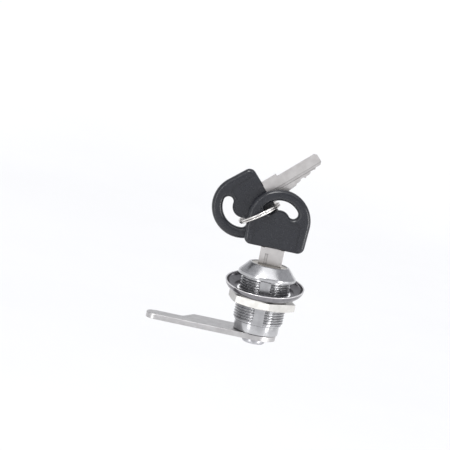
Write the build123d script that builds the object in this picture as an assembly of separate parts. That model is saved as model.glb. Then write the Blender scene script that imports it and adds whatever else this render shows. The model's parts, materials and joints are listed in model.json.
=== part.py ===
from build123d import *
from math import cos, hypot, radians, sin
import os

# Cam lock with two keys. Origin: barrel axis at the underside of the head, where the panel sits.
# +Z points out of the panel, to the key. The cam points along -X at rest. Millimetres.

# ---- housing ----
BARREL_R = 9.5              # M19 x 1 thread, outer radius
BARREL_LENGTH = 21.0        # head underside to barrel end
COLLAR_R = 8.5              # plain stretch at the barrel's end
COLLAR_LENGTH = 3.5
FLAT_WIDTH = 4.2            # flats along the barrel, front and back
HEAD_RIM_R = 11.0
HEAD_TOP_R = 7.7
HEAD_RIM_HEIGHT = 1.2
HEAD_HEIGHT = 5.0
HEAD_EDGE = 0.25            # small rounding of the head's edges

# ---- plug ----
PLUG_R = 6.0
PLUG_FLANGE_STEP = 0.7      # flange beyond the plug's own radius
PLUG_FLANGE_HEIGHT = 1.9
PLUG_RECESS = 0.2           # plug face below the head's top
RUNNING_GAP = 0.05          # radial clearance of turning and sliding fits
END_GAP = 0.1               # axial clearance of the plug
TURN_ANGLE = 90             # cam travel, clockwise seen from the key
TAIL_SQUARE = 6.0           # square tail that drives washer and cam
TAIL_SHORT = 0.1            # tail ends inside the cam, so that the screw clamps the cam
KEYWAY_END_GAP = 0.5        # keyway beyond the blade's tip

# ---- wafers ----
WAFER_COUNT = 5
WAFER_PITCH = 2.3
WAFER_TOP_Z = -0.5          # middle of the first wafer
WAFER_THICKNESS = 1.1
WAFER_WIDTH = 4.4
WAFER_PLAY = 0.6            # travel against the spring with the key in
WAFER_END_GAP = 0.15        # wafer's round end inside the plug
WAFER_SIDE_GAP = 0.05
SPRING_R = 0.5
SPRING_HOLE_R = 0.28
SPRING_LENGTH = 2.9
LUG_WIDTH = 0.6
LUG_REACH = 1.2             # how far the lug stands out of the wafer's side
LUG_X = -0.9                # face that the spring pushes on
LOCKING_DEPTH = 1.3         # locking grooves beyond the plug's radius
GROOVE_TOP_Z = 1.0

# ---- rear fittings ----
STOP_THICKNESS = 1.0
STOP_R = 7.3                # sits in a counterbore in the barrel's end
TAB_HALF_ANGLE = 10
TAB_R = 8.3                 # the washer's ear, in a quarter cut-out of the collar
STOP_SLACK = 0.6            # degrees left at each end of the turn
STOP_SIDE_GAP = 0.1
CAM_THICKNESS = 2.0
CAM_HUB_R = 8.0
CAM_LENGTH = 41.5           # axis to tip
CAM_SHOULDER_X = 24.0       # where the wide part ends
CAM_TAPER = 4.0
CAM_TIP_WIDTH = 8.0
CAM_TIP_ROUND = 0.45        # tip corner radius, as a share of the tip's width
CAM_STEP_R = 1.5
CAM_EDGE = 0.2              # chamfer of the upper edge
SQUARE_GAP = 0.05
LOCK_WASHER_R = 4.6
LOCK_WASHER_THICKNESS = 0.6
LOCK_WASHER_GAP = 0.1       # round the screw
LOCK_WASHER_SPLIT = 0.6
SCREW_R = 2.5
SCREW_HEAD_R = 4.3
SCREW_HEAD_HEIGHT = 1.8
SCREW_HEAD_EDGE = 0.9       # rounding of the pan head
SCREW_LENGTH = 7.5
CROSS_WIDTH = 1.1
CROSS_LENGTH = 4.6
CROSS_DEPTH = 1.0

# ---- mounting nut and trim ring ----
NUT_ACROSS_FLATS = 23.0
NUT_THICKNESS = 3.0
NUT_TOP_Z = -7.6
NUT_CORNER_ANGLE = -77.5    # where one corner points
NUT_FACE_R = 11.6           # corners are turned down to this radius on the lower face
NUT_CHAMFER_HEIGHT = 0.7
TRIM_RIM_R = 15.0
TRIM_FLOOR_R = 11.6
TRIM_HOLE_R = 10.2
TRIM_DEPTH = 3.2
TRIM_SHEET = 0.5
TRIM_BEND_STEP = 0.1        # inner bend starts nearer the axis than the outer one
TRIM_TILT_X = 9.0           # the loose ring leans down at the front
TRIM_TILT_Y = 2.5           # and a little to the cam's side
TRIM_SEAT_GAP = 0.1

# ---- keys ----
HEAD_WIDTH = 22.8           # across the straight end
LOOP_R = 11.9               # outside of the round end
LOOP_CENTRE = 10.7          # from the straight end to the round end's centre
KEY_HEAD_THICKNESS = 3.8
CORNER_R = 2.6
LOOP_EDGE = 1.6
SLOT_R = 5.95               # middle of the curved slot
SLOT_WIDTH = 3.7
SLOT_HALF_ANGLE = 52
PANEL_HALF_WIDTH = 8.6
PANEL_TOP = 11.3
PANEL_DEPTH = 0.45
PANEL_CORNER_R = 2.0
HUMP_R = 4.1
BLADE_THICKNESS = 2.0
BLADE_WIDTH = 7.0
SHOULDER_WIDTH = 8.9
SHOULDER_LENGTH = 6.2       # blade that shows between lock and key head
BLADE_LENGTH = 23.2         # key head to blade tip
TANG_WIDTH = 6.0
TANG_LENGTH = 6.0
BITTING = [0.8, 1.5, 1.3, 2.1, 2.3]   # cut depth under each wafer
CUT_FLOOR = 1.0             # flat length at the bottom of a cut
CUT_FLANK = 0.8             # share of the space between two cuts that a flank rises over
TIP_BEVEL = 0.9
GROOVE_WIDTH = 1.2
GROOVE_DEPTH = 0.5
GROOVE_RUNOUT = 2.2         # plain stretch left next to the key head
GROOVE_OFFSET = 1.3         # the two faces' grooves lie this far each side of their middle
GROOVE_SHIFT = 0.6          # that middle is nearer the straight edge than the cuts
KEY_SEAT_GAP = 0.1
SPARE_SHIFT_X = -14.1       # spare key's loop centre from the first key's
SPARE_SHIFT_Z = 1.9
KEY_LAYER_GAP = 0.4         # between the two key heads
SPARE_ANGLE = 43.0          # direction of the spare blade above +X
RING_R = 8.1                # middle of the wire
RING_WIRE_R = 0.42
RING_COIL_STEP = 0.8
RING_ANGLE = 36.0           # direction of the ring's plane above +X
RING_SHIFT_X = -7.75        # ring centre from the first key's loop centre
RING_SHIFT_Z = 1.05
RING_DEPTH = 3.4            # ring centre behind the first key's middle

# ---- places that follow ----
PLUG_FLANGE_R = PLUG_R + PLUG_FLANGE_STEP
LOCKING_R = PLUG_R + LOCKING_DEPTH
WAFER_REACH = PLUG_R - WAFER_END_GAP
PLUG_FACE_Z = HEAD_HEIGHT - PLUG_RECESS
PLUG_FLANGE_Z = PLUG_FACE_Z - PLUG_FLANGE_HEIGHT
CAM_TOP_Z = -BARREL_LENGTH - END_GAP
STOP_TOP_Z = CAM_TOP_Z + STOP_THICKNESS
STOP_FLOOR_Z = STOP_TOP_Z + END_GAP
CAM_BOTTOM_Z = CAM_TOP_Z - CAM_THICKNESS
LOCK_WASHER_BOTTOM_Z = CAM_BOTTOM_Z - LOCK_WASHER_THICKNESS
KEY_SHOULDER_Z = PLUG_FACE_Z + KEY_SEAT_GAP
KEY_HEAD_Z = KEY_SHOULDER_Z + SHOULDER_LENGTH
BLADE_TIP_Z = KEY_HEAD_Z - BLADE_LENGTH
BLADE_EDGE = BLADE_WIDTH / 2
WINDOW_LOW = -BLADE_EDGE - RUNNING_GAP - WAFER_PLAY - WAFER_SIDE_GAP
WINDOW_HIGH = BLADE_EDGE + RUNNING_GAP
WAFER_END = ((PLUG_R - WAFER_SIDE_GAP) ** 2 - (WAFER_WIDTH / 2) ** 2) ** 0.5 - WAFER_PLAY
LUG_OUT_Y = WAFER_WIDTH / 2 + LUG_REACH
SPRING_Y = WAFER_WIDTH / 2 + WAFER_SIDE_GAP + SPRING_R + RUNNING_GAP


def wafer_z(index):
    """Height of the middle of one wafer."""
    return WAFER_TOP_Z - index * WAFER_PITCH


def disc(radius, top, bottom):
    """Round solid on the barrel axis between two heights."""
    return Pos(0, 0, (top + bottom) / 2) * Cylinder(radius, top - bottom)


def block(x_low, x_high, y_low, y_high, z_low, z_high):
    """Box between two corners."""
    centre = Pos((x_low + x_high) / 2, (y_low + y_high) / 2, (z_low + z_high) / 2)
    return centre * Box(x_high - x_low, y_high - y_low, z_high - z_low)


def square_post(width, top, bottom):
    """Square bar on the barrel axis between two heights."""
    return block(-width / 2, width / 2, -width / 2, width / 2, bottom, top)


def sector(inner, outer, start, end, z_low, z_high):
    """Part of a flat ring between two angles in degrees."""
    reach = 2 * outer
    middle = (start + end) / 2
    corners = [(0, 0)]
    for angle in (start, (start + middle) / 2, middle, (middle + end) / 2, end):
        corners.append((reach * cos(radians(angle)), reach * sin(radians(angle))))
    wedge = make_face(Polyline(corners, close=True))
    ring = (Circle(outer) - Circle(inner)) & wedge
    return extrude(Pos(0, 0, z_low) * ring, z_high - z_low)


def make_housing():
    """Zinc barrel with a cone head, a plug bore, wafer grooves and a quarter-turn stop recess."""
    profile = Polyline(
        (0, -BARREL_LENGTH),
        (COLLAR_R, -BARREL_LENGTH),
        (COLLAR_R, COLLAR_LENGTH - BARREL_LENGTH),
        (BARREL_R, COLLAR_LENGTH - BARREL_LENGTH),
        (BARREL_R, 0),
        (HEAD_RIM_R, 0),
        (HEAD_RIM_R, HEAD_RIM_HEIGHT),
        (HEAD_TOP_R, HEAD_HEIGHT),
        (0, HEAD_HEIGHT),
        close=True,
    )
    body = revolve(make_face(Plane.XZ * profile), Axis.Z)
    rim_edges = body.edges().filter_by(GeomType.CIRCLE).filter_by(
        lambda edge: edge.center().Z > HEAD_RIM_HEIGHT / 2)
    body = fillet(rim_edges, HEAD_EDGE)
    flat_y = (BARREL_R ** 2 - (FLAT_WIDTH / 2) ** 2) ** 0.5
    for side in (-1, 1):
        y_low, y_high = sorted((side * flat_y, side * 2 * BARREL_R))
        body -= block(-FLAT_WIDTH, FLAT_WIDTH, y_low, y_high, -BARREL_LENGTH, 0)
    body -= disc(PLUG_R + RUNNING_GAP, HEAD_HEIGHT, -BARREL_LENGTH)
    body -= disc(PLUG_FLANGE_R + RUNNING_GAP, HEAD_HEIGHT, PLUG_FLANGE_Z - END_GAP)
    half_groove = WAFER_WIDTH / 2 + 2 * WAFER_SIDE_GAP
    body -= block(-LOCKING_R, LOCKING_R, -half_groove, half_groove, -BARREL_LENGTH, GROOVE_TOP_Z)
    body -= disc(STOP_R + STOP_SIDE_GAP, STOP_FLOOR_Z, -BARREL_LENGTH)
    start = 180 - TURN_ANGLE - TAB_HALF_ANGLE - STOP_SLACK
    end = 180 + TAB_HALF_ANGLE + STOP_SLACK
    body -= sector(PLUG_R, BARREL_R + 1, start, end, -BARREL_LENGTH - 1, STOP_FLOOR_Z)
    return body


def make_plug():
    """Turning core: flange at the face, keyway, five wafer slots, square tail with a screw hole."""
    body = disc(PLUG_FLANGE_R, PLUG_FACE_Z, PLUG_FLANGE_Z) + disc(PLUG_R, PLUG_FLANGE_Z, STOP_TOP_Z)
    body += square_post(TAIL_SQUARE, STOP_TOP_Z, CAM_BOTTOM_Z + TAIL_SHORT)
    half_slot = BLADE_EDGE + RUNNING_GAP
    half_thickness = BLADE_THICKNESS / 2 + RUNNING_GAP
    body -= block(-half_slot, half_slot, -half_thickness, half_thickness,
                  BLADE_TIP_Z - KEYWAY_END_GAP, PLUG_FACE_Z)
    half_height = WAFER_THICKNESS / 2 + WAFER_SIDE_GAP
    half_width = WAFER_WIDTH / 2 + WAFER_SIDE_GAP
    pocket_low = LUG_X - LUG_WIDTH - 2 * WAFER_SIDE_GAP
    pocket_high = LUG_X + SPRING_LENGTH + WAFER_PLAY + WAFER_SIDE_GAP
    for index in range(WAFER_COUNT):
        low, high = wafer_z(index) - half_height, wafer_z(index) + half_height
        body -= block(-PLUG_R - 1, PLUG_R + 1, -half_width, half_width, low, high)
        body -= block(pocket_low, pocket_high, half_width, LUG_OUT_Y + WAFER_SIDE_GAP, low, high)
    body -= disc(SCREW_R, CAM_BOTTOM_Z + SCREW_LENGTH, CAM_BOTTOM_Z - 1)
    return body


def make_wafer(index):
    """Flat locking wafer with a window for the blade and a lug for its spring."""
    half_height = WAFER_THICKNESS / 2
    middle = wafer_z(index)
    low, high = middle - half_height, middle + half_height
    half_width = WAFER_WIDTH / 2
    plate = block(-WAFER_REACH - 1, WAFER_END, -half_width, half_width, low, high)
    plate &= disc(WAFER_REACH, high, low)
    half_window = BLADE_THICKNESS / 2 + 2 * RUNNING_GAP
    plate -= block(WINDOW_LOW, WINDOW_HIGH, -half_window, half_window, low, high)
    lug = block(LUG_X - LUG_WIDTH, LUG_X, half_width, LUG_OUT_Y, low, high)
    return plate + lug


def make_wafer_spring(index):
    """Small coil spring beside the wafer, as the plain sleeve that its coils fill."""
    sleeve = Cylinder(SPRING_R, SPRING_LENGTH) - Cylinder(SPRING_HOLE_R, SPRING_LENGTH)
    place = Pos(LUG_X + SPRING_LENGTH / 2, SPRING_Y, wafer_z(index))
    return place * Rot(0, 90, 0) * sleeve


def make_stop_washer():
    """Washer on the square tail, with the ear that stops the turn."""
    washer = disc(STOP_R, STOP_TOP_Z, CAM_TOP_Z)
    start, end = 180 - TAB_HALF_ANGLE, 180 + TAB_HALF_ANGLE
    washer += sector(STOP_R - 1, TAB_R, start, end, CAM_TOP_Z, STOP_TOP_Z)
    return washer - square_post(TAIL_SQUARE + 2 * SQUARE_GAP, STOP_TOP_Z + 1, CAM_TOP_Z - 1)


def make_cam():
    """Flat steel cam: round hub end, one straight edge, and a far edge that steps in to the tip."""
    near = -CAM_HUB_R
    tip_far = near + CAM_TIP_WIDTH
    arm = make_face(Polyline(
        (0, near),
        (-CAM_LENGTH, near),
        (-CAM_LENGTH, tip_far),
        (-CAM_SHOULDER_X - CAM_TAPER, tip_far),
        (-CAM_SHOULDER_X, CAM_HUB_R),
        (0, CAM_HUB_R),
        close=True,
    ))
    tip_corners = arm.vertices().filter_by(lambda vertex: vertex.X < -CAM_LENGTH + 0.1)
    arm = fillet(tip_corners, CAM_TIP_WIDTH * CAM_TIP_ROUND)
    step_corners = arm.vertices().filter_by(lambda vertex: -CAM_SHOULDER_X - CAM_TAPER - 0.1 < vertex.X < -1)
    arm = fillet(step_corners.filter_by(lambda vertex: vertex.Y > near + 1), CAM_STEP_R)
    outline = arm + Circle(CAM_HUB_R)
    plate = extrude(Pos(0, 0, CAM_BOTTOM_Z) * outline, CAM_THICKNESS)
    plate = chamfer(plate.edges().filter_by(lambda edge: edge.length > 1 and
                                            abs(edge.center().Z - CAM_TOP_Z) < 0.01), CAM_EDGE)
    return plate - square_post(TAIL_SQUARE + 2 * SQUARE_GAP, CAM_TOP_Z + 1, CAM_BOTTOM_Z - 1)


def make_lock_washer():
    """Split spring washer under the screw head."""
    washer = disc(LOCK_WASHER_R, CAM_BOTTOM_Z, LOCK_WASHER_BOTTOM_Z)
    washer -= disc(SCREW_R + LOCK_WASHER_GAP, CAM_BOTTOM_Z, LOCK_WASHER_BOTTOM_Z)
    half_split = LOCK_WASHER_SPLIT / 2
    split = block(0, LOCK_WASHER_R + 1, -half_split, half_split, LOCK_WASHER_BOTTOM_Z, CAM_BOTTOM_Z)
    return washer - split


def make_cam_screw():
    """Pan-head cross-recess screw that holds cam and washers on the plug's tail."""
    head_bottom = LOCK_WASHER_BOTTOM_Z - SCREW_HEAD_HEIGHT
    head = disc(SCREW_HEAD_R, LOCK_WASHER_BOTTOM_Z, head_bottom)
    head = fillet(head.edges().filter_by(lambda edge: edge.center().Z < head_bottom + 0.01), SCREW_HEAD_EDGE)
    shank = disc(SCREW_R, LOCK_WASHER_BOTTOM_Z + SCREW_LENGTH, LOCK_WASHER_BOTTOM_Z)
    recess = Box(CROSS_LENGTH, CROSS_WIDTH, 2 * CROSS_DEPTH) + Box(CROSS_WIDTH, CROSS_LENGTH, 2 * CROSS_DEPTH)
    return head + shank - Pos(0, 0, head_bottom) * recess


def make_mounting_nut():
    """Thin hexagon nut on the barrel, with its corners turned down on the lower face."""
    corner_r = NUT_ACROSS_FLATS / 2 / cos(radians(30))
    bottom = NUT_TOP_Z - NUT_THICKNESS
    hexagon = RegularPolygon(corner_r, 6)
    body = extrude(Pos(0, 0, bottom) * Rot(0, 0, NUT_CORNER_ANGLE) * hexagon, NUT_THICKNESS)
    turned = disc(corner_r + 1, NUT_TOP_Z, bottom + NUT_CHAMFER_HEIGHT)
    cone_middle = bottom + NUT_CHAMFER_HEIGHT / 2
    turned += Pos(0, 0, cone_middle) * Cone(NUT_FACE_R, corner_r + 1, NUT_CHAMFER_HEIGHT)
    return (body & turned) - disc(BARREL_R + RUNNING_GAP, NUT_TOP_Z, bottom)


def trim_ring_place():
    """Place of the loose ring: leaning, with its lowest floor edge on the nut."""
    lean = Rot(TRIM_TILT_X, -TRIM_TILT_Y, 0)
    tilt = radians(hypot(TRIM_TILT_X, TRIM_TILT_Y))
    floor_z = NUT_TOP_Z + TRIM_SEAT_GAP + TRIM_FLOOR_R * sin(tilt)
    return Pos(0, 0, floor_z) * lean


def make_trim_ring():
    """Dished sheet-metal ring that lies loose round the barrel, its mouth towards the head."""
    outer = Line((TRIM_FLOOR_R, 0), (TRIM_HOLE_R, 0))
    hole = Line((TRIM_HOLE_R, 0), (TRIM_HOLE_R, TRIM_SHEET))
    bend_r = TRIM_FLOOR_R - TRIM_BEND_STEP
    inner_floor = Line((TRIM_HOLE_R, TRIM_SHEET), (bend_r, TRIM_SHEET))
    inner_wall = TangentArc((bend_r, TRIM_SHEET), (TRIM_RIM_R - TRIM_SHEET, TRIM_DEPTH), tangent=(1, 0))
    lip = Line((TRIM_RIM_R - TRIM_SHEET, TRIM_DEPTH), (TRIM_RIM_R, TRIM_DEPTH))
    outer_wall = TangentArc((TRIM_FLOOR_R, 0), (TRIM_RIM_R, TRIM_DEPTH), tangent=(1, 0))
    section = make_face(Plane.XZ * Wire([outer, hole, inner_floor, inner_wall, lip, outer_wall]))
    return trim_ring_place() * revolve(section, Axis.Z)


def blade_outline():
    """Key blade seen face-on, with its head end at height 0 and its tip down."""
    shoulder = SHOULDER_WIDTH / 2
    half_tang = TANG_WIDTH / 2
    points = [
        (-half_tang, TANG_LENGTH),
        (-half_tang, 0),
        (-shoulder, 0),
        (-shoulder, -SHOULDER_LENGTH),
        (-BLADE_EDGE, -SHOULDER_LENGTH),
        (-BLADE_EDGE, TIP_BEVEL - BLADE_LENGTH),
        (TIP_BEVEL - BLADE_EDGE, -BLADE_LENGTH),
        (BLADE_EDGE - BITTING[-1] - TIP_BEVEL, -BLADE_LENGTH),
        (BLADE_EDGE - BITTING[-1], TIP_BEVEL - BLADE_LENGTH),
    ]
    for index in reversed(range(WAFER_COUNT)):
        height = wafer_z(index) - KEY_HEAD_Z
        edge = BLADE_EDGE - BITTING[index]
        crest = (WAFER_PITCH - CUT_FLOOR) / 2
        rise = min(BITTING[index], crest) * CUT_FLANK
        points.append((edge, height - CUT_FLOOR / 2))
        points.append((edge, height + CUT_FLOOR / 2))
        points.append((edge + rise, height + CUT_FLOOR / 2 + crest * CUT_FLANK))
    points += [
        (BLADE_EDGE, -SHOULDER_LENGTH - CUT_FLOOR),
        (BLADE_EDGE, -SHOULDER_LENGTH),
        (shoulder, -SHOULDER_LENGTH),
        (shoulder, 0),
        (half_tang, 0),
        (half_tang, TANG_LENGTH),
    ]
    return Polyline(points, close=True)


def make_blade():
    """Flat key blade in its own place: head end at the origin, tip down, cuts at +X."""
    blade = extrude(make_face(Plane.XZ * blade_outline()), BLADE_THICKNESS / 2, both=True)
    half_thickness = BLADE_THICKNESS / 2
    for side in (-1, 1):
        middle = side * GROOVE_OFFSET - GROOVE_SHIFT
        y_low, y_high = sorted((side * half_thickness * 1.1, side * (half_thickness - GROOVE_DEPTH)))
        blade -= block(middle - GROOVE_WIDTH / 2, middle + GROOVE_WIDTH / 2, y_low, y_high,
                       -BLADE_LENGTH - 1, -GROOVE_RUNOUT)
    return blade


def make_key_head():
    """Moulded key head in its own place: straight end at the origin, round loop end up."""
    half_width = HEAD_WIDTH / 2
    lower = make_face(Polyline(
        (-half_width, 0),
        (half_width, 0),
        (LOOP_R, LOOP_CENTRE),
        (-LOOP_R, LOOP_CENTRE),
        close=True,
    ))
    lower = fillet(lower.vertices().filter_by(lambda vertex: vertex.Y < 0.1), CORNER_R)
    upper_half = Pos(0, LOOP_CENTRE + LOOP_R / 2) * Rectangle(2 * LOOP_R, LOOP_R)
    outline = lower + (Pos(0, LOOP_CENTRE) * Circle(LOOP_R) & upper_half)
    arc = CenterArc((0, LOOP_CENTRE), SLOT_R, 90 - SLOT_HALF_ANGLE, 2 * SLOT_HALF_ANGLE)
    slot = SlotArc(arc, SLOT_WIDTH)
    body = extrude(Plane.XZ * (outline - slot), KEY_HEAD_THICKNESS / 2, both=True)
    face_edges = body.edges().filter_by(
        lambda edge: abs(abs(edge.center().Y) - KEY_HEAD_THICKNESS / 2) < 0.01)
    body = fillet(face_edges, LOOP_EDGE)
    panel = make_face(Polyline(
        (-PANEL_HALF_WIDTH, -1),
        (PANEL_HALF_WIDTH, -1),
        (PANEL_HALF_WIDTH, PANEL_TOP),
        (-PANEL_HALF_WIDTH, PANEL_TOP),
        close=True,
    ))
    panel = fillet(panel.vertices().filter_by(lambda vertex: vertex.Y > 0), PANEL_CORNER_R)
    panel += Pos(0, LOOP_CENTRE) * Circle(HUMP_R)
    panel_block = extrude(Plane.XZ * panel, PANEL_DEPTH * 2, both=True)
    for side in (-1, 1):
        body -= Pos(0, side * (KEY_HEAD_THICKNESS / 2 + PANEL_DEPTH), 0) * panel_block
    body -= block(-TANG_WIDTH / 2, TANG_WIDTH / 2, -BLADE_THICKNESS / 2, BLADE_THICKNESS / 2,
                  -1, TANG_LENGTH)
    return body


def spare_key_place():
    """Place of the spare key: behind the first key, blade up to the right, turned over."""
    centre_y = KEY_HEAD_THICKNESS + KEY_LAYER_GAP
    centre_z = KEY_HEAD_Z + LOOP_CENTRE + SPARE_SHIFT_Z
    turn = Rot(0, -(90 + SPARE_ANGLE), 0) * Rot(0, 0, 180)
    return Pos(SPARE_SHIFT_X, centre_y, centre_z) * turn * Pos(0, 0, -LOOP_CENTRE)


def make_key_ring():
    """Small split ring through both key heads: two coils of wire side by side."""
    centre_z = KEY_HEAD_Z + LOOP_CENTRE + RING_SHIFT_Z
    coils = Pos(0, 0, RING_COIL_STEP / 2) * Torus(RING_R, RING_WIRE_R)
    coils += Pos(0, 0, -RING_COIL_STEP / 2) * Torus(RING_R, RING_WIRE_R)
    return Pos(RING_SHIFT_X, RING_DEPTH, centre_z) * Rot(0, -RING_ANGLE, 0) * coils


def make_parts():
    """Every node by name."""
    first_key = Pos(0, 0, KEY_HEAD_Z)
    nodes = {
        "housing": make_housing(),
        "plug": make_plug(),
        "stop_washer": make_stop_washer(),
        "cam": make_cam(),
        "cam_lock_washer": make_lock_washer(),
        "cam_screw": make_cam_screw(),
        "mounting_nut": make_mounting_nut(),
        "trim_ring": make_trim_ring(),
        "key_blade": first_key * make_blade(),
        "key_head": first_key * make_key_head(),
        "spare_key_blade": spare_key_place() * make_blade(),
        "spare_key_head": spare_key_place() * make_key_head(),
        "key_ring": make_key_ring(),
    }
    for index in range(WAFER_COUNT):
        nodes[f"wafer_{index + 1}"] = make_wafer(index)
        nodes[f"wafer_spring_{index + 1}"] = make_wafer_spring(index)
    return nodes


os.makedirs("parts", exist_ok=True)
for name, shape in make_parts().items():
    export_step(shape, f"parts/{name}.step")
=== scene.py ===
import json
from math import cos, degrees, pi, radians, sin, sqrt

import bmesh
import bpy
from mathutils import Euler, Matrix, Vector


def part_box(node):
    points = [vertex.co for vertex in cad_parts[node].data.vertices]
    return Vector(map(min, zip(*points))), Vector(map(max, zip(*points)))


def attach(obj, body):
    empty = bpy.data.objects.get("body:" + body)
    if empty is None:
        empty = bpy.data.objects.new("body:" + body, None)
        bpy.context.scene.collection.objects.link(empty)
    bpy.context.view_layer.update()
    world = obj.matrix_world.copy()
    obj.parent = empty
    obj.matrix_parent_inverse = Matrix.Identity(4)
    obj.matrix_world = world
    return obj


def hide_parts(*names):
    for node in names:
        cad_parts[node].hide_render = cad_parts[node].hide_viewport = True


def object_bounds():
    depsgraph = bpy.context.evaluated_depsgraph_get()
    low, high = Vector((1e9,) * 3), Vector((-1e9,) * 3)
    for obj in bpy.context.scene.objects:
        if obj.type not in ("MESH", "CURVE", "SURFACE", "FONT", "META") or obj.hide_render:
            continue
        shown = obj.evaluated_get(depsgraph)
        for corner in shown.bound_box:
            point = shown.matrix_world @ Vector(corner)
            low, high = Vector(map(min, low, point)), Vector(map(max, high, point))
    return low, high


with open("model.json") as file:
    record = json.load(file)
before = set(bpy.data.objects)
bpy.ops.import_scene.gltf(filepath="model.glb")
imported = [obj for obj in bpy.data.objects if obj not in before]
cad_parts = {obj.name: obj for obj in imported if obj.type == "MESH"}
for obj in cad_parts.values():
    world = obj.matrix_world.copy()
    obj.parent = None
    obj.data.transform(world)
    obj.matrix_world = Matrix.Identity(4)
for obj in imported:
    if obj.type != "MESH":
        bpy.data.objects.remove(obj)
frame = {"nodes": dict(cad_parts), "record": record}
CAD_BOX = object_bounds()
MM = 0.001

# Sizes that the detailed meshes share with the CAD. Lengths are in metres, and angles in radians unless said.

# Housing: threaded barrel, plain collar, cone head, the bores inside, and the stop recess in degrees.
THREAD_R = 9.5 * MM
THREAD_DEPTH = 0.58 * MM
THREAD_PITCH = 1.0 * MM
THREAD_TOP = -0.5 * MM
THREAD_BOTTOM = -17.3 * MM
COLLAR_R = 8.5 * MM
COLLAR_TOP = -17.5 * MM
BARREL_END = -21.0 * MM
FLAT_HALF = 2.1 * MM
PLUG_BORE_R = 6.05 * MM
FLANGE_BORE_R = 6.75 * MM
FLANGE_FLOOR = 2.8 * MM
HEAD_RIM_R = 11.0 * MM
HEAD_TOP_R = 7.7 * MM
HEAD_RIM_TOP = 1.2 * MM
HEAD_TOP = 5.0 * MM
COUNTERBORE_R = 7.4 * MM
COUNTERBORE_FLOOR = -20.0 * MM
RECESS_START = 79.4
RECESS_END = 190.6

# Trim ring: the leaning axis, the dish's floor and the height of its rim.
TRIM_TILT = (radians(9.0), radians(-2.5))
TRIM_FLOOR_Z = -5.62 * MM
TRIM_DEPTH = 3.2 * MM

# Key ring: radius to the wire's middle, lean, the wire's radius and the height from one turn to the next.
RING_R = 8.1 * MM
RING_ANGLE = radians(36.0)
RING_WIRE_R = 0.42 * MM
RING_COIL_STEP = 0.8 * MM

# Detail that only the meshes here have.

# Thread: flat crest and flat root, as shares of the pitch, and the rows of the mesh in one turn.
THREAD_CREST = 0.16
THREAD_ROOT = 0.2
THREAD_ROWS = 15

# Rounded corners of the housing's profile: steps outward and upward from each sharp corner, in millimetres.
MOUTH_CORNER = ((0.0, -0.1), (0.12, 0.0))
HEAD_TOP_CORNER = ((-0.3, 0.0), (-0.08, -0.07), (0.1, -0.25))
HEAD_RIM_CORNER = ((-0.25, 0.28), (-0.06, 0.05), (0.0, -0.2))
HEAD_UNDER_CORNER = ((0.0, 0.2), (-0.06, 0.06), (-0.2, 0.0))
HEAD_ROOT_CORNER = ((0.1, 0.0), (0.0, -0.1))
COLLAR_CORNER = ((0.2, 0.05), (0.0, -0.1))
END_BEVEL = 0.25 * MM
END_BEVEL_ROUNDING = 0.28

# Columns of the housing's mesh, in degrees: their step, how far the pair at an edge stands from it, and how near
# to an edge no other column may be.
COLUMN_STEP = 2.5
EDGE_HALF_WIDTH = 0.15
EDGE_CLEARANCE = 0.6

# Split ring: turns, mesh steps, where the wire starts, the gap at its ends, the stretch in which it crosses over,
# and the width and height of its section as shares of a round one.
RING_TURNS = 2
RING_STEPS = 240
RING_SIDES = 14
RING_START = radians(200)
RING_GAP = radians(3)
RING_CROSSING = radians(50)
RING_WIRE_WIDTH = 0.98
RING_WIRE_HEIGHT = 0.93

# Wafer springs: the wire, the coils, how far the wire's middle stays from the spring's box, the share of the
# coils that is wound close at each end, the share of the length that rises evenly, and the number of springs.
SPRING_WIRE_R = 0.09 * MM
SPRING_TURNS = 8
SPRING_STEPS_PER_TURN = 20
SPRING_SIDES = 8
SPRING_MARGIN = 1.1 * SPRING_WIRE_R
SPRING_END_SHARE = 0.1
SPRING_EVEN_RISE = 0.12
SPRING_COUNT = 5

# Meshes in general: where points merge, and the angle above which an edge stays sharp.
MERGE_DISTANCE = 1e-7
HOUSING_SHARP = radians(32)
WIRE_SHARP = radians(50)

# Floor: flat round the lock, then curved up. The lock is held by its panel hole, clear of the floor.
FLOOR_DROP = 0.3
FLOOR_FLAT_R = 2.5
FLOOR_BEND_R = 3.0
FLOOR_BEND_ANGLE = radians(60)
FLOOR_BEND_STEPS = 16
FLOOR_SIDES = 96

# Finishes: pattern scales are per millimetre. Heights, reach and rounding are in metres. The painted highlight on
# the trim ring's lip starts and is full at these distances below its rim, in millimetres.
CLOUD_SCALE = 0.35
SCRATCH_SCALE = 3.0
SCRATCH_STRETCH = (0.25, 3.0, 0.8)
SCRATCH_STRENGTH = 0.12
SCRATCH_HEIGHT = 0.01 * MM
GRAIN_HEIGHT = 0.02 * MM
# How far from a nearby surface the painted shade in crevices reaches.
CREVICE_SHADE_REACH = 0.9 * MM
METAL_ROUNDING = 0.12 * MM
TRIM_ROUNDING = 0.15 * MM
TRIM_HIGHLIGHT_START = 0.3
TRIM_HIGHLIGHT_FULL = 0.12

# Light: the surroundings, the sun, and the strips' distance from the axis and height.
WORLD_COLOUR = (0.95, 0.96, 1.0, 1)
WORLD_STRENGTH = 0.62
SUN_ENERGY = 1.7
SUN_ANGLE = radians(25)
SUN_TURN = (radians(32), radians(-22), 0)
STRIP_DISTANCE = 0.8
STRIP_HEIGHT = 0.05


# ---------------------------------------------------------------- materials

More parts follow.
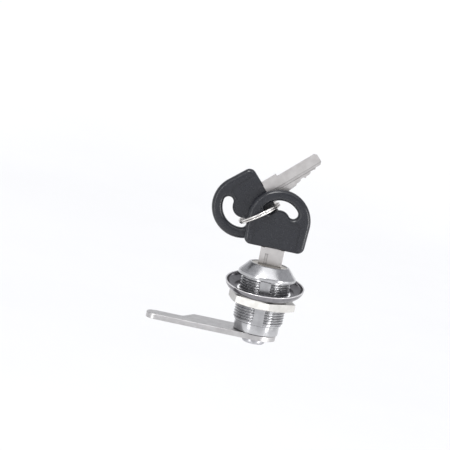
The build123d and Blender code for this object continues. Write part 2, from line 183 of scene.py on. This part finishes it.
class Nodes:
    """Short calls for building one material's node tree."""

    def __init__(self, name):
        """Start a material that has its output and its main shader."""
        self.material = bpy.data.materials.new(name)
        self.material.use_nodes = True
        self.tree = self.material.node_tree
        self.shader = self.tree.nodes["Principled BSDF"]

    def add(self, kind, **settings):
        """New node of a kind, with its settings."""
        node = self.tree.nodes.new(kind)
        for key, value in settings.items():
            setattr(node, key, value)
        return node

    def link(self, source, target):
        """Join an output to an input."""
        self.tree.links.new(source, target)

    def coordinates(self, scale):
        """Object coordinates in millimetres, stretched by the three scales."""
        place = self.add("ShaderNodeTexCoord")
        mapping = self.add("ShaderNodeMapping")
        mapping.inputs["Scale"].default_value = [value / MM for value in scale]
        self.link(place.outputs["Object"], mapping.inputs["Vector"])
        return mapping.outputs["Vector"]

    def noise(self, scale, stretch=(1, 1, 1), detail=4.0, roughness=0.55):
        """Noise from 0 to 1 over the object, finer with a larger scale."""
        node = self.add("ShaderNodeTexNoise")
        node.inputs["Scale"].default_value = scale
        node.inputs["Detail"].default_value = detail
        node.inputs["Roughness"].default_value = roughness
        self.link(self.coordinates(stretch), node.inputs["Vector"])
        return node.outputs["Fac"]

    def spread(self, source, low, high, start=0.3, end=0.7):
        """Map the values from start to end onto the range from low to high."""
        node = self.add("ShaderNodeMapRange")
        node.inputs["From Min"].default_value = start
        node.inputs["From Max"].default_value = end
        node.inputs["To Min"].default_value = low
        node.inputs["To Max"].default_value = high
        self.link(source, node.inputs["Value"])
        return node.outputs["Result"]

    def colours(self, source, first, second, start=0.35, end=0.65):
        """Colour that runs from first to second as the source goes from start to end."""
        node = self.add("ShaderNodeValToRGB")
        node.color_ramp.elements[0].position = start
        node.color_ramp.elements[1].position = end
        node.color_ramp.elements[0].color = (*first, 1)
        node.color_ramp.elements[1].color = (*second, 1)
        self.link(source, node.inputs["Fac"])
        return node.outputs["Color"]

    def soft_edges(self, radius):
        """Normal that rounds off hard edges, so that they catch the light."""
        node = self.add("ShaderNodeBevel", samples=4)
        node.inputs["Radius"].default_value = radius
        return node.outputs["Normal"]

    def painted_crevice_shade(self, colour, depth):
        """Painted shade: darken a colour, down to depth times itself, where nearby surfaces close in on it."""
        near = self.add("ShaderNodeAmbientOcclusion", samples=8)
        near.inputs["Distance"].default_value = CREVICE_SHADE_REACH
        mix = self.add("ShaderNodeMix", data_type="RGBA", blend_type="MULTIPLY")
        mix.inputs["Factor"].default_value = 1.0
        grey = self.colours(near.outputs["AO"], (depth, depth, depth), (1, 1, 1), start=0.25, end=0.85)
        self.link(colour, mix.inputs[6])
        self.link(grey, mix.inputs[7])
        return mix.outputs[2]

    def height_along(self, axis, offset):
        """Millimetres of a point along an axis of the object, less an offset."""
        product = self.add("ShaderNodeVectorMath", operation="DOT_PRODUCT")
        product.inputs[1].default_value = axis
        self.link(self.coordinates((1, 1, 1)), product.inputs[0])
        less = self.add("ShaderNodeMath", operation="SUBTRACT")
        less.inputs[1].default_value = offset
        self.link(product.outputs["Value"], less.inputs[0])
        return less.outputs["Value"]

    def blend_colours(self, factor, first, second):
        """Colour output first where the factor is 0, and the fixed colour second where it is 1."""
        mix = self.add("ShaderNodeMix", data_type="RGBA")
        mix.inputs[7].default_value = (*second, 1)
        self.link(factor, mix.inputs["Factor"])
        self.link(first, mix.inputs[6])
        return mix.outputs[2]

    def bump(self, source, strength, height, below=None):
        """Normal with a pattern raised on it, on top of another normal where one is given."""
        node = self.add("ShaderNodeBump")
        node.inputs["Strength"].default_value = strength
        node.inputs["Distance"].default_value = height
        self.link(source, node.inputs["Height"])
        if below is not None:
            self.link(below, node.inputs["Normal"])
        return node.outputs["Normal"]

    def finish(self, **sockets):
        """Set or link the shader's sockets, spaces written as underscores, and hand over the material."""
        for name, value in sockets.items():
            socket = self.shader.inputs[name.replace("_", " ")]
            if isinstance(value, bpy.types.NodeSocket):
                self.link(value, socket)
            else:
                socket.default_value = value
        return self.material


def metal(name, light, dark, rough, grain=(1, 1, 1), grain_scale=6.0, grain_depth=0.3, crevice_shade=0.45):
    """Metal with cloudy colour, grain in its gloss and relief, scratches, soft edges and painted shade in its
    crevices.
    """
    n = Nodes(name)
    cloud = n.noise(CLOUD_SCALE, detail=3.0)
    fine = n.noise(grain_scale, grain, detail=5.0)
    scratch = n.noise(SCRATCH_SCALE, SCRATCH_STRETCH, detail=6.0, roughness=0.7)
    # Painted shade: the colour is darkened in grooves and corners where nearby surfaces close in.
    base = n.painted_crevice_shade(n.colours(cloud, dark, light), crevice_shade)
    gloss = n.spread(fine, *rough)
    relief = n.bump(fine, grain_depth, GRAIN_HEIGHT, n.soft_edges(METAL_ROUNDING))
    relief = n.bump(scratch, SCRATCH_STRENGTH, SCRATCH_HEIGHT, relief)
    return n.finish(Base_Color=base, Metallic=1.0, Roughness=gloss, Normal=relief)


def trim_chrome():
    """Smoky bright plating on pressed sheet, with painted shade in its crevices and a painted highlight: the cut
    lip of the rim is coloured near white.
    """
    n = Nodes("trim_chrome")
    axis = Euler((*TRIM_TILT, 0)).to_matrix() @ Vector((0, 0, 1))
    above_floor = n.height_along(axis, TRIM_FLOOR_Z * axis.z / MM)
    rim = TRIM_DEPTH / MM
    # Painted highlight: a band just under the rim is coloured near white, for the light the lip catches.
    lip_highlight = n.spread(above_floor, 0.0, 1.0, start=rim - TRIM_HIGHLIGHT_START, end=rim - TRIM_HIGHLIGHT_FULL)
    cloud = n.noise(CLOUD_SCALE, detail=3.0)
    fine = n.noise(scale=4.0, stretch=(0.3, 0.3, 3), detail=5.0)
    # Painted shade: the plating is darkened in its crevices.
    plating_with_shade = n.painted_crevice_shade(n.colours(cloud, (0.17, 0.165, 0.175), (0.24, 0.235, 0.245)), depth=0.5)
    # The band under the rim takes the painted highlight colour over the shaded plating.
    base = n.blend_colours(lip_highlight, plating_with_shade, (0.92, 0.9, 0.9))
    relief = n.bump(fine, strength=0.15, height=GRAIN_HEIGHT, below=n.soft_edges(TRIM_ROUNDING))
    gloss = n.spread(fine, low=0.08, high=0.17)
    return n.finish(Base_Color=base, Metallic=1.0, Roughness=gloss, Normal=relief)


def key_plastic():
    """Moulded black plastic: fine spark texture, cloudy gloss, pale rub marks."""
    n = Nodes("key_plastic")
    grain = n.noise(scale=5.0, detail=3.0)
    cloud = n.noise(scale=0.25, detail=4.0)
    rub = n.noise(scale=1.2, stretch=(0.3, 1.0, 2.2), detail=6.0, roughness=0.7)
    base = n.colours(rub, (0.011, 0.012, 0.016), (0.018, 0.019, 0.024), start=0.4, end=0.75)
    gloss = n.spread(cloud, low=0.2, high=0.32)
    relief = n.bump(grain, strength=0.06, height=GRAIN_HEIGHT)
    relief = n.bump(rub, strength=0.04, height=GRAIN_HEIGHT, below=relief)
    return n.finish(Base_Color=base, Roughness=gloss, Normal=relief)


# Every metal gets painted shade in its crevices; nickel and blade set how dark it goes.
MATERIALS = {
    "nickel": metal("nickel", light=(0.5, 0.5, 0.51), dark=(0.42, 0.42, 0.43), rough=(0.16, 0.28),
                    grain=(0.2, 0.2, 4), grain_scale=5, crevice_shade=0.62),
    "core": metal("core", light=(0.42, 0.39, 0.34), dark=(0.32, 0.29, 0.25), rough=(0.2, 0.34),
                  grain=(3, 0.4, 1)),
    "wafer": metal("wafer", light=(0.7, 0.52, 0.25), dark=(0.56, 0.4, 0.18), rough=(0.25, 0.4),
                   grain=(3, 0.4, 1)),
    "spring": metal("spring", light=(0.5, 0.5, 0.5), dark=(0.36, 0.36, 0.37), rough=(0.2, 0.35)),
    "cam_steel": metal("cam_steel", light=(0.56, 0.55, 0.55), dark=(0.47, 0.46, 0.46), rough=(0.26, 0.4),
                       grain=(0.25, 4, 4), grain_scale=5, grain_depth=0.4),
    "screw_steel": metal("screw_steel", light=(0.45, 0.45, 0.47), dark=(0.33, 0.33, 0.35),
                         rough=(0.25, 0.4)),
    "nut_satin": metal("nut_satin", light=(0.54, 0.53, 0.51), dark=(0.46, 0.45, 0.43), rough=(0.3, 0.42),
                       grain=(3, 3, 0.3), grain_scale=5, grain_depth=0.5),
    "trim_chrome": trim_chrome(),
    "blade": metal("blade", light=(0.62, 0.6, 0.59), dark=(0.54, 0.52, 0.51), rough=(0.28, 0.4),
                   grain=(4, 1, 0.3), grain_scale=5, grain_depth=0.35, crevice_shade=0.15),
    "ring_wire": metal("ring_wire", light=(0.74, 0.72, 0.7), dark=(0.64, 0.62, 0.6), rough=(0.14, 0.24)),
    "key_plastic": key_plastic(),
}


def cover(piece, slot):
    """Give one object a single material."""
    piece.data.materials.clear()
    piece.data.materials.append(MATERIALS[slot])


# ---------------------------------------------------------------- detailed meshes

def new_mesh(name, vertices, faces, sharp_angle):
    """Object with merged points, outward faces and smooth shading up to an angle."""
    mesh = bpy.data.meshes.new(name)
    mesh.from_pydata(vertices, [], faces)
    work = bmesh.new()
    work.from_mesh(mesh)
    bmesh.ops.remove_doubles(work, verts=work.verts, dist=MERGE_DISTANCE)
    bmesh.ops.recalc_face_normals(work, faces=work.faces)
    work.to_mesh(mesh)
    work.free()
    mesh.polygons.foreach_set("use_smooth", [True] * len(mesh.polygons))
    mesh.set_sharp_from_angle(angle=sharp_angle)
    piece = bpy.data.objects.new(name, mesh)
    bpy.context.scene.collection.objects.link(piece)
    return piece


def closed_grid(columns):
    """Vertices and faces of a ring of closed profiles, one profile for each column."""
    count, rows = len(columns), len(columns[0])
    vertices = [point for column in columns for point in column]
    faces = []
    for c in range(count):
        d = (c + 1) % count
        for r in range(rows):
            s = (r + 1) % rows
            faces.append((c * rows + r, d * rows + r, d * rows + s, c * rows + s))
    return vertices, faces


def wire_faces(rings, sides):
    """Faces that join rings of points into a closed wire, with a flat end on each side."""
    faces = []
    for index in range(rings - 1):
        a, b = index * sides, (index + 1) * sides
        for side in range(sides):
            other = (side + 1) % sides
            faces.append((a + side, a + other, b + other, b + side))
    faces.append(tuple(range(sides)))
    faces.append(tuple((rings - 1) * sides + side for side in range(sides)))
    return faces


def thread_radius(angle, z):
    """Outside radius of a right-hand thread, fading out at both ends."""
    turn = (z / THREAD_PITCH - angle / (2 * pi)) % 1.0
    slope = (1 - THREAD_CREST - THREAD_ROOT) / 2
    if turn < THREAD_CREST / 2 or turn > 1 - THREAD_CREST / 2:
        height = 1.0
    elif abs(turn - 0.5) < THREAD_ROOT / 2:
        height = 0.0
    else:
        height = (abs(turn - 0.5) - THREAD_ROOT / 2) / slope
    fade = min(1.0, (THREAD_TOP - z) / THREAD_PITCH, (z - THREAD_BOTTOM) / THREAD_PITCH)
    return THREAD_R - THREAD_DEPTH * (1 - height * max(0.0, fade))


def housing_angles():
    """Column angles in degrees, with narrow pairs at the edges of the flats and of the stop recess."""
    half = degrees(FLAT_HALF / THREAD_R)
    angles = {index * COLUMN_STEP for index in range(int(360 / COLUMN_STEP))}
    edges = [90 - half, 90 + half, 270 - half, 270 + half, RECESS_START, RECESS_END]
    angles = {a for a in angles if min(abs(a - e) for e in edges) > EDGE_CLEARANCE}
    for edge in edges:
        angles.update((edge - EDGE_HALF_WIDTH, edge + EDGE_HALF_WIDTH))
    return sorted(angles)


def rounded(radius, z, steps):
    """Profile points round a sharp corner, from their steps in millimetres."""
    return [(radius + out * MM, z + up * MM) for out, up in steps]


def housing_profile(angle, in_recess):
    """Closed outline of the housing at one angle, as radius and height."""
    end_z = COUNTERBORE_FLOOR if in_recess else BARREL_END
    bevel = 0.0 if in_recess else END_BEVEL
    rounding = END_BEVEL_ROUNDING * bevel
    profile = [
        *rounded(FLANGE_BORE_R, HEAD_TOP, MOUTH_CORNER),
        *rounded(HEAD_TOP_R, HEAD_TOP, HEAD_TOP_CORNER),
        *rounded(HEAD_RIM_R, HEAD_RIM_TOP, HEAD_RIM_CORNER),
        *rounded(HEAD_RIM_R, 0.0, HEAD_UNDER_CORNER),
        *rounded(THREAD_R - THREAD_DEPTH, 0.0, HEAD_ROOT_CORNER),
    ]
    rows = THREAD_ROWS * round((THREAD_TOP - THREAD_BOTTOM) / THREAD_PITCH)
    for row in range(rows + 1):
        z = THREAD_TOP + (THREAD_BOTTOM - THREAD_TOP) * row / rows
        profile.append((thread_radius(angle, z), z))
    profile += [
        *rounded(COLLAR_R, COLLAR_TOP, COLLAR_CORNER),
        (COLLAR_R, end_z + bevel),
        (COLLAR_R - rounding, end_z + rounding),
        (COLLAR_R - bevel, end_z),
        (COUNTERBORE_R, end_z),
        (COUNTERBORE_R, COUNTERBORE_FLOOR),
        (PLUG_BORE_R, COUNTERBORE_FLOOR),
        (PLUG_BORE_R, FLANGE_FLOOR),
        (FLANGE_BORE_R, FLANGE_FLOOR),
    ]
    return profile


def make_housing():
    """Housing with its real helical thread, its two flats and the stop recess."""
    flat_y = sqrt(THREAD_R ** 2 - FLAT_HALF ** 2)
    columns = []
    for degree in housing_angles():
        angle = radians(degree)
        in_flat = abs(sin(angle)) > cos(FLAT_HALF / THREAD_R)
        column = []
        for radius, z in housing_profile(angle, RECESS_START < degree < RECESS_END):
            x, y = radius * cos(angle), radius * sin(angle)
            if in_flat and THREAD_BOTTOM < z < THREAD_TOP:
                y = flat_y if y > 0 else -flat_y
            column.append((x, y, z))
        columns.append(column)
    piece = new_mesh("housing_threaded", *closed_grid(columns), HOUSING_SHARP)
    cover(piece, "nickel")
    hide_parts("housing")
    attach(piece, "lock_body")


def make_split_ring():
    """Split ring: two turns of one wire, with a short step where it crosses from turn to turn."""
    low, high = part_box("key_ring")
    centre = (Vector(low) + Vector(high)) / 2
    place = Matrix.Translation(centre) @ Matrix.Rotation(-RING_ANGLE, 4, "Y")
    vertices = []
    for index in range(RING_STEPS + 1):
        travelled = RING_GAP + (2 * pi * RING_TURNS - 2 * RING_GAP) * index / RING_STEPS
        crossing = (travelled - (2 * pi - RING_CROSSING / 2)) / RING_CROSSING
        crossing = min(1.0, max(0.0, crossing))
        crossing = crossing * crossing * (3 - 2 * crossing)
        height = RING_COIL_STEP * (crossing - 0.5)
        angle = travelled + RING_START
        for side in range(RING_SIDES):
            around = 2 * pi * side / RING_SIDES
            radius = RING_R + RING_WIRE_R * cos(around) * RING_WIRE_WIDTH
            z = height + RING_WIRE_R * sin(around) * RING_WIRE_HEIGHT
            vertices.append(place @ Vector((radius * cos(angle), radius * sin(angle), z)))
    faces = wire_faces(RING_STEPS + 1, RING_SIDES)
    piece = new_mesh("split_ring", vertices, faces, WIRE_SHARP)
    cover(piece, "ring_wire")
    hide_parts("key_ring")
    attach(piece, "ring_and_spare_key")


def tube(path, radius, sides):
    """Vertices and faces of a closed round wire along a list of points."""
    vertices = []
    for index, point in enumerate(path):
        before, after = path[max(index - 1, 0)], path[min(index + 1, len(path) - 1)]
        along = (after - before).normalized()
        across = along.cross(Vector((1, 0, 0))).normalized()
        upward = across.cross(along)
        for side in range(sides):
            around = 2 * pi * side / sides
            vertices.append(point + radius * (cos(around) * across + sin(around) * upward))
    return vertices, wire_faces(len(path), sides)


def make_wafer_spring(number):
    """Coil spring beside a wafer, with its end turns wound close."""
    low, high = [Vector(corner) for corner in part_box(f"wafer_spring_{number}")]
    centre = (low + high) / 2
    length = high.x - low.x - 2 * SPRING_MARGIN
    coil_r = (high.y - low.y) / 2 - SPRING_MARGIN
    steps = SPRING_TURNS * SPRING_STEPS_PER_TURN
    path = []
    for index in range(steps + 1):
        part = index / steps
        angle = 2 * pi * SPRING_TURNS * part
        middle = min(1.0, max(0.0, (part - SPRING_END_SHARE) / (1 - 2 * SPRING_END_SHARE)))
        rise = middle * (1 - SPRING_EVEN_RISE) + part * SPRING_EVEN_RISE
        path.append(Vector((low.x + SPRING_MARGIN + length * rise,
                            centre.y + coil_r * cos(angle), centre.z + coil_r * sin(angle))))
    vertices, faces = tube(path, SPRING_WIRE_R, SPRING_SIDES)
    piece = new_mesh(f"coil_spring_{number}", vertices, faces, WIRE_SHARP)
    cover(piece, "spring")
    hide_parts(f"wafer_spring_{number}")
    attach(piece, f"wafer_slider_{number}")


# ---------------------------------------------------------------- floor, light and camera

def make_stage():
    """Pale floor that curves up all round, so that no horizon shows from any side."""
    floor_z = CAD_BOX[0][2] - FLOOR_DROP
    profile = [(FLOOR_FLAT_R, 0.0)]
    for index in range(1, FLOOR_BEND_STEPS + 1):
        angle = FLOOR_BEND_ANGLE * index / FLOOR_BEND_STEPS
        profile.append((FLOOR_FLAT_R + FLOOR_BEND_R * sin(angle), FLOOR_BEND_R * (1 - cos(angle))))
    vertices = [(0, 0, floor_z)]
    for radius, height in profile:
        for side in range(FLOOR_SIDES):
            angle = 2 * pi * side / FLOOR_SIDES
            vertices.append((radius * cos(angle), radius * sin(angle), floor_z + height))
    faces = [(0, 1 + side, 1 + (side + 1) % FLOOR_SIDES) for side in range(FLOOR_SIDES)]
    for ring in range(len(profile) - 1):
        first = 1 + ring * FLOOR_SIDES
        for side in range(FLOOR_SIDES):
            a, b = first + side, first + (side + 1) % FLOOR_SIDES
            faces.append((a, a + FLOOR_SIDES, b + FLOOR_SIDES, b))
    mesh = bpy.data.meshes.new("floor")
    mesh.from_pydata(vertices, [], faces)
    mesh.polygons.foreach_set("use_smooth", [True] * len(mesh.polygons))
    floor = bpy.data.objects.new("floor", mesh)
    bpy.context.scene.collection.objects.link(floor)
    n = Nodes("floor_pale")
    tone = n.colours(n.noise(scale=0.002), (0.9, 0.9, 0.9), (0.92, 0.92, 0.92))
    mesh.materials.append(n.finish(Base_Color=tone, Roughness=0.9, Specular_IOR_Level=0.0))


def area_light(name, place, size, power):
    """Rectangular light aimed at the origin, which the camera itself doesn't see."""
    data = bpy.data.lights.new(name, "AREA")
    data.shape = "RECTANGLE"
    data.size, data.size_y = size
    data.energy = power
    light = bpy.data.objects.new(name, data)
    light.location = place
    light.visible_camera = False
    light.rotation_euler = (-Vector(place)).to_track_quat("-Z", "Y").to_euler()
    bpy.context.scene.collection.objects.link(light)


def strip_light(name, azimuth, size, power):
    """Upright soft strip, its azimuth in degrees from the front, for long highlights on turned metal."""
    angle = radians(azimuth)
    place = (STRIP_DISTANCE * sin(angle), -STRIP_DISTANCE * cos(angle), STRIP_HEIGHT)
    area_light(name, place, size, power)


def make_light():
    """Even pale surroundings, a soft sun, three upright strips and a wide light above."""
    world = bpy.data.worlds.new("studio")
    world.use_nodes = True
    background = world.node_tree.nodes["Background"]
    background.inputs["Color"].default_value = WORLD_COLOUR
    background.inputs["Strength"].default_value = WORLD_STRENGTH
    bpy.context.scene.world = world
    sun = bpy.data.lights.new("soft_sun", "SUN")
    sun.energy = SUN_ENERGY
    sun.angle = SUN_ANGLE
    sun_object = bpy.data.objects.new("soft_sun", sun)
    sun_object.rotation_euler = SUN_TURN
    bpy.context.scene.collection.objects.link(sun_object)
    strip_light("left_strip", azimuth=-38, size=(0.1, 0.7), power=1.35)
    strip_light("right_strip", azimuth=58, size=(0.16, 0.6), power=2.6)
    area_light("top_light", place=(0.0, -0.3, 0.75), size=(1.0, 0.35), power=1.5)
    strip_light("side_fill", azimuth=86, size=(0.25, 0.5), power=0.4)
    bpy.context.scene.view_settings.view_transform = "Standard"


def make_camera():
    """Square to the cam and the key, a little above, rolled so that the barrel leans to the right."""
    # In metres: view_width is what the frame shows at the lock's distance, and the aims are the frame's centre.
    elevation, roll = radians(8.5), radians(12)
    distance = 0.8
    view_width = 0.1692
    aim_right, aim_up = -0.0157, 0.0196
    forward = Vector((0, cos(elevation), -sin(elevation)))
    plain_up = Vector((0, sin(elevation), cos(elevation)))
    right = cos(roll) * Vector((1, 0, 0)) + sin(roll) * plain_up
    up = cos(roll) * plain_up - sin(roll) * Vector((1, 0, 0))
    target = aim_right * right + aim_up * up
    data = bpy.data.cameras.new("camera")
    data.sensor_width = 36.0
    data.lens = data.sensor_width * distance / view_width
    camera = bpy.data.objects.new("camera", data)
    turn = Matrix((right, up, -forward)).transposed().to_4x4()
    camera.matrix_world = Matrix.Translation(target - distance * forward) @ turn
    bpy.context.scene.collection.objects.link(camera)
    bpy.context.scene.camera = camera


make_camera()
for row in frame["record"]["subparts"]:
    cover(frame["nodes"][row["node"]], row["material_slot"])
make_housing()
make_split_ring()
for spring_number in range(1, SPRING_COUNT + 1):
    make_wafer_spring(spring_number)
make_stage()
make_light()
